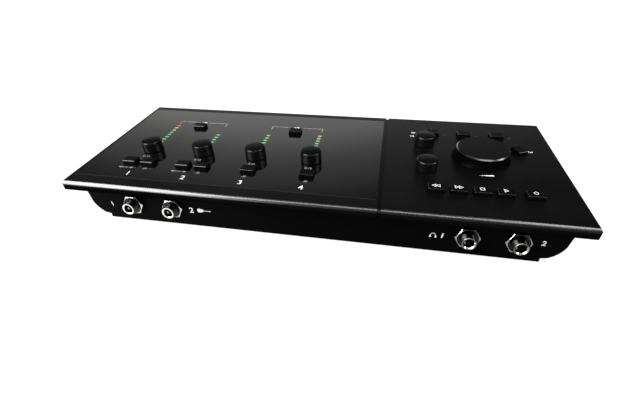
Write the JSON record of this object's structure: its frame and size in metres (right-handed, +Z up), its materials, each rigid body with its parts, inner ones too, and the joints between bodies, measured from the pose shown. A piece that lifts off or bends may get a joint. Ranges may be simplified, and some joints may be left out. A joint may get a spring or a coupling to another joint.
{
  "type": "usb audio interface",
  "caption": "Desktop audio interface: sloping top with gain, headphone and volume knobs, push buttons and light meters over a boat-shaped case with front and rear sockets.",
  "frame": {"origin": "middle of the footprint, on the table under the feet", "axes": "+X to the right along the width, +Y to the back, +Z up; the front face looks along -Y"},
  "size_m": [0.35, 0.1392, 0.0544],
  "materials": {
    "cover_black": "satin moulded black",
    "gloss_black_acrylic": "polished black acrylic",
    "case_black": "satin black powder coat",
    "face_black": "smooth satin black",
    "feet_rubber": "matt black",
    "screw_steel": "blackened steel",
    "standoff_brass": "nickel-free brass",
    "circuit_board": "green solder mask",
    "chip_epoxy": "matt epoxy",
    "capacitor_can": "bright can",
    "switch_plastic": "matt black",
    "light_red": "lit red window",
    "light_yellow": "lit yellow window",
    "light_green": "lit green window",
    "light_status": "lit pale blue window",
    "jack_chrome": "bright nickel plate",
    "socket_plastic": "glass-filled black plastic",
    "socket_brass": "gold-plated",
    "socket_shell": "tinned steel",
    "knob_black": "satin black",
    "shaft_steel": "turned steel",
    "button_black": "semi-gloss black"
  },
  "bodies": {
    "chassis": {"top_cover": "cover_black", "input_plate": "gloss_black_acrylic", "bottom_case": "case_black", "front_panel": "face_black", "rear_panel": "face_black", "rubber_feet": "feet_rubber", "case_screws": "screw_steel", "board_screws": "screw_steel", "board_standoffs": "standoff_brass", "control_board": "circuit_board", "main_board": "circuit_board", "board_components": "chip_epoxy", "filter_capacitors": "capacitor_can", "rotary_controls": "switch_plastic", "button_switches": "switch_plastic", "red_meter_lights": "light_red", "yellow_meter_lights": "light_yellow", "green_meter_lights": "light_green", "status_lights": "light_status", "front_jack_sleeves": "jack_chrome", "front_jack_bodies": "socket_plastic", "jack_nuts": "jack_chrome", "line_output_jacks": "jack_chrome", "combo_inputs": "socket_plastic", "coaxial_sockets": "socket_brass", "midi_sockets": "socket_plastic", "socket_inserts": "socket_plastic", "usb_socket": "socket_shell", "power_inlet": "socket_plastic"},
    "gain_knob_1_body": {"gain_knob_1": "knob_black", "gain_shaft_1": "shaft_steel"},
    "gain_knob_2_body": {"gain_knob_2": "knob_black", "gain_shaft_2": "shaft_steel"},
    "gain_knob_3_body": {"gain_knob_3": "knob_black", "gain_shaft_3": "shaft_steel"},
    "gain_knob_4_body": {"gain_knob_4": "knob_black", "gain_shaft_4": "shaft_steel"},
    "headphone_knob_1_body": {"headphone_knob_1": "knob_black", "headphone_shaft_1": "shaft_steel"},
    "headphone_knob_2_body": {"headphone_knob_2": "knob_black", "headphone_shaft_2": "shaft_steel"},
    "volume_knob_body": {"volume_knob": "knob_black", "volume_shaft": "shaft_steel"},
    "source_button_1_body": {"source_button_1": "button_black"},
    "pad_button_1_body": {"pad_button_1": "button_black"},
    "source_button_2_body": {"source_button_2": "button_black"},
    "pad_button_2_body": {"pad_button_2": "button_black"},
    "pad_button_3_body": {"pad_button_3": "button_black"},
    "pad_button_4_body": {"pad_button_4": "button_black"},
    "phantom_button_1_2_body": {"phantom_button_1_2": "button_black"},
    "phantom_button_3_4_body": {"phantom_button_3_4": "button_black"},
    "monitor_button_a_body": {"monitor_button_a": "button_black"},
    "monitor_button_b_body": {"monitor_button_b": "button_black"},
    "monitor_button_c_body": {"monitor_button_c": "button_black"},
    "multi_button_body": {"multi_button": "button_black"},
    "rewind_button_body": {"rewind_button": "button_black"},
    "forward_button_body": {"forward_button": "button_black"},
    "stop_button_body": {"stop_button": "button_black"},
    "play_button_body": {"play_button": "button_black"},
    "record_button_body": {"record_button": "button_black"}
  },
  "joints": [
    {"name": "gain_knob_1_turn", "type": "hinge", "parent": "chassis", "child": "gain_knob_1_body", "pos_m": [-0.132, -0.01571, 0.04251], "axis": [0, -0.0872, 0.9962], "range_deg": [-150, 150]},
    {"name": "gain_knob_2_turn", "type": "hinge", "parent": "chassis", "child": "gain_knob_2_body", "pos_m": [-0.0888, -0.01571, 0.04251], "axis": [0, -0.0872, 0.9962], "range_deg": [-150, 150]},
    {"name": "gain_knob_3_turn", "type": "hinge", "parent": "chassis", "child": "gain_knob_3_body", "pos_m": [-0.0456, -0.01571, 0.04251], "axis": [0, -0.0872, 0.9962], "range_deg": [-150, 150]},
    {"name": "gain_knob_4_turn", "type": "hinge", "parent": "chassis", "child": "gain_knob_4_body", "pos_m": [-0.0024, -0.01571, 0.04251], "axis": [0, -0.0872, 0.9962], "range_deg": [-150, 150]},
    {"name": "headphone_knob_1_turn", "type": "hinge", "parent": "chassis", "child": "headphone_knob_1_body", "pos_m": [0.0807, -0.01571, 0.04251], "axis": [0, -0.0872, 0.9962], "range_deg": [-150, 150]},
    {"name": "headphone_knob_2_turn", "type": "hinge", "parent": "chassis", "child": "headphone_knob_2_body", "pos_m": [0.0807, 0.02125, 0.04575], "axis": [0, -0.0872, 0.9962], "range_deg": [-150, 150]},
    {"name": "volume_knob_turn", "type": "hinge", "parent": "chassis", "child": "volume_knob_body", "pos_m": [0.1204, 0.00531, 0.04435], "axis": [0, -0.0872, 0.9962], "continuous": true},
    {"name": "source_button_1_press", "type": "slide", "parent": "chassis", "child": "source_button_1_body", "axis": [0, -0.0872, 0.9962], "range_m": [-0.0007, 0], "stiffness_N_per_m": 2000},
    {"name": "pad_button_1_press", "type": "slide", "parent": "chassis", "child": "pad_button_1_body", "axis": [0, -0.0872, 0.9962], "range_m": [-0.0007, 0], "stiffness_N_per_m": 2000},
    {"name": "source_button_2_press", "type": "slide", "parent": "chassis", "child": "source_button_2_body", "axis": [0, -0.0872, 0.9962], "range_m": [-0.0007, 0], "stiffness_N_per_m": 2000},
    {"name": "pad_button_2_press", "type": "slide", "parent": "chassis", "child": "pad_button_2_body", "axis": [0, -0.0872, 0.9962], "range_m": [-0.0007, 0], "stiffness_N_per_m": 2000},
    {"name": "pad_button_3_press", "type": "slide", "parent": "chassis", "child": "pad_button_3_body", "axis": [0, -0.0872, 0.9962], "range_m": [-0.0007, 0], "stiffness_N_per_m": 2000},
    {"name": "pad_button_4_press", "type": "slide", "parent": "chassis", "child": "pad_button_4_body", "axis": [0, -0.0872, 0.9962], "range_m": [-0.0007, 0], "stiffness_N_per_m": 2000},
    {"name": "phantom_button_1_2_press", "type": "slide", "parent": "chassis", "child": "phantom_button_1_2_body", "axis": [0, -0.0872, 0.9962], "range_m": [-0.0007, 0], "stiffness_N_per_m": 2000},
    {"name": "phantom_button_3_4_press", "type": "slide", "parent": "chassis", "child": "phantom_button_3_4_body", "axis": [0, -0.0872, 0.9962], "range_m": [-0.0007, 0], "stiffness_N_per_m": 2000},
    {"name": "monitor_button_a_press", "type": "slide", "parent": "chassis", "child": "monitor_button_a_body", "axis": [0, -0.0872, 0.9962], "range_m": [-0.0007, 0], "stiffness_N_per_m": 2000},
    {"name": "monitor_button_b_press", "type": "slide", "parent": "chassis", "child": "monitor_button_b_body", "axis": [0, -0.0872, 0.9962], "range_m": [-0.0007, 0], "stiffness_N_per_m": 2000},
    {"name": "monitor_button_c_press", "type": "slide", "parent": "chassis", "child": "monitor_button_c_body", "axis": [0, -0.0872, 0.9962], "range_m": [-0.0007, 0], "stiffness_N_per_m": 2000},
    {"name": "multi_button_press", "type": "slide", "parent": "chassis", "child": "multi_button_body", "axis": [0, -0.0872, 0.9962], "range_m": [-0.0007, 0], "stiffness_N_per_m": 2000},
    {"name": "rewind_button_press", "type": "slide", "parent": "chassis", "child": "rewind_button_body", "axis": [0, -0.0872, 0.9962], "range_m": [-0.0007, 0], "stiffness_N_per_m": 2000},
    {"name": "forward_button_press", "type": "slide", "parent": "chassis", "child": "forward_button_body", "axis": [0, -0.0872, 0.9962], "range_m": [-0.0007, 0], "stiffness_N_per_m": 2000},
    {"name": "stop_button_press", "type": "slide", "parent": "chassis", "child": "stop_button_body", "axis": [0, -0.0872, 0.9962], "range_m": [-0.0007, 0], "stiffness_N_per_m": 2000},
    {"name": "play_button_press", "type": "slide", "parent": "chassis", "child": "play_button_body", "axis": [0, -0.0872, 0.9962], "range_m": [-0.0007, 0], "stiffness_N_per_m": 2000},
    {"name": "record_button_press", "type": "slide", "parent": "chassis", "child": "record_button_body", "axis": [0, -0.0872, 0.9962], "range_m": [-0.0007, 0], "stiffness_N_per_m": 2000}
  ]
}
